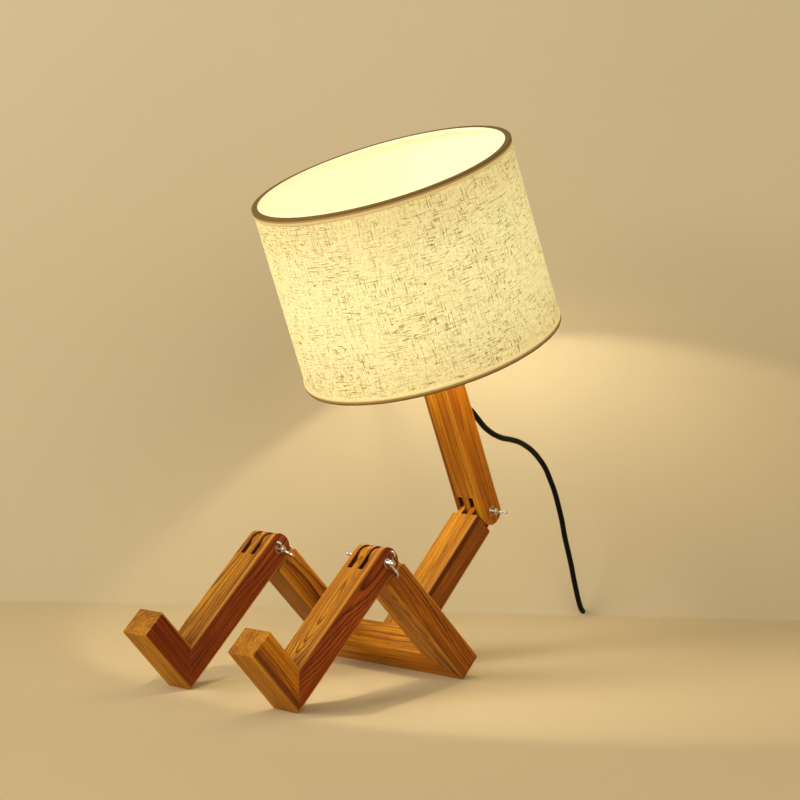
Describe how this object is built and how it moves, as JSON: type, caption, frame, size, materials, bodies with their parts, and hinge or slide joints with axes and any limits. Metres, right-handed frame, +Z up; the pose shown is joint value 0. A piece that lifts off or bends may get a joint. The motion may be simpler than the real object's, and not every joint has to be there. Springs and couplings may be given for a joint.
{
  "type": "desk lamp",
  "caption": "seated-figure desk lamp: jointed square wooden bars as legs and spine, wing-nut knees and waist, tilted linen drum shade as a head, black cord with switch and plug",
  "frame": {"origin": "on the floor, under the middle of the lamp itself, left to right and front to back, without the cord and what is on it", "axes": "+Z is up, the figure faces -Y, and +X is its left-hand side"},
  "size_m": [0.3836, 0.5539, 0.4465],
  "materials": {
    "wood": "oiled honey-brown softwood with clear growth rings, slightly chamfered edges",
    "dowel": "plain beech dowel, hidden in the joint",
    "zinc": "zinc-plated steel, bright and a little worn",
    "brass": "plain brass",
    "white_plastic": "white moulded lamp-holder plastic",
    "bulb_cap": "rolled nickel-plated screw cap",
    "bulb_neck": "white moulded bulb body",
    "bulb_globe": "frosted diffuser, glowing warm white",
    "wire": "white-coated steel wire",
    "liner": "stiff off-white shade liner",
    "linen": "natural cream linen with darker slubs, lit from inside",
    "binding": "woven grey-beige binding tape, folded over the edge",
    "cord": "smooth black round cord",
    "bushing": "black cord bushing",
    "tie": "black strap",
    "black_plastic": "black moulded plastic",
    "rocker": "light plastic rocker, unmarked",
    "pins": "nickel-plated plug pins"
  },
  "bodies": {
    "seat": {"left_thigh": "wood", "right_thigh": "wood", "hip_bar": "wood", "lower_spine": "wood", "spine_dowels": "dowel", "left_knee_bolt": "zinc", "right_knee_bolt": "zinc", "waist_bolt": "zinc", "cord_drop": "cord", "cord_link": "cord", "cord_coil": "cord", "cord_tail": "cord", "cord_tie": "tie", "switch_base": "black_plastic", "switch_cover": "black_plastic", "plug_body": "black_plastic", "plug_pins": "pins"},
    "left_leg": {"left_shin": "wood", "left_foot": "wood", "left_knee_washer": "zinc"},
    "right_leg": {"right_shin": "wood", "right_foot": "wood", "right_knee_washer": "zinc"},
    "upper_body": {"upper_spine": "wood", "waist_washer": "zinc", "threaded_tube": "brass", "holder_cup": "white_plastic", "holder_insert": "white_plastic", "holder_contact": "brass", "holder_sleeve": "white_plastic", "shade_ring_nut": "white_plastic", "bulb_cap": "bulb_cap", "bulb_neck": "bulb_neck", "bulb_globe": "bulb_globe", "shade_frame": "wire", "shade_top_ring": "wire", "shade_liner": "liner", "shade_linen": "linen", "top_binding": "binding", "bottom_binding": "binding", "cord_bushing": "wood", "inner_cord": "cord"},
    "left_knee_nut": {"left_knee_wing_nut": "zinc"},
    "right_knee_nut": {"right_knee_wing_nut": "zinc"},
    "waist_nut": {"waist_wing_nut": "zinc"},
    "rocker": {"switch_rocker": "rocker"}
  },
  "joints": [
    {"name": "left_knee", "type": "hinge", "parent": "seat", "child": "left_leg", "pos_m": [0.062, -0.0475, 0.10182], "axis": [1, 0, 0], "range_deg": [-88, 5]},
    {"name": "right_knee", "type": "hinge", "parent": "seat", "child": "right_leg", "pos_m": [-0.062, -0.0475, 0.10182], "axis": [1, 0, 0], "range_deg": [-88, 5]},
    {"name": "waist", "type": "hinge", "parent": "seat", "child": "upper_body", "pos_m": [0, 0.13918, 0.12162], "axis": [1, 0, 0], "range_deg": [-67.5, 15], "deforming": ["cord_drop"]},
    {"name": "left_knee_nut_turn", "type": "hinge", "parent": "seat", "child": "left_knee_nut", "pos_m": [0.08, -0.0475, 0.10182], "axis": [1, 0, 0], "range_deg": [0, 360]},
    {"name": "right_knee_nut_turn", "type": "hinge", "parent": "seat", "child": "right_knee_nut", "pos_m": [-0.044, -0.0475, 0.10182], "axis": [1, 0, 0], "range_deg": [0, 360]},
    {"name": "waist_nut_turn", "type": "hinge", "parent": "seat", "child": "waist_nut", "pos_m": [0.018, 0.13918, 0.12162], "axis": [1, 0, 0], "range_deg": [0, 360]},
    {"name": "switch_rocker_tilt", "type": "hinge", "parent": "seat", "child": "rocker", "pos_m": [-0.12576, 0.33137, 0.011], "axis": [0.5736, -0.8192, 0], "range_deg": [-14, 0]}
  ]
}
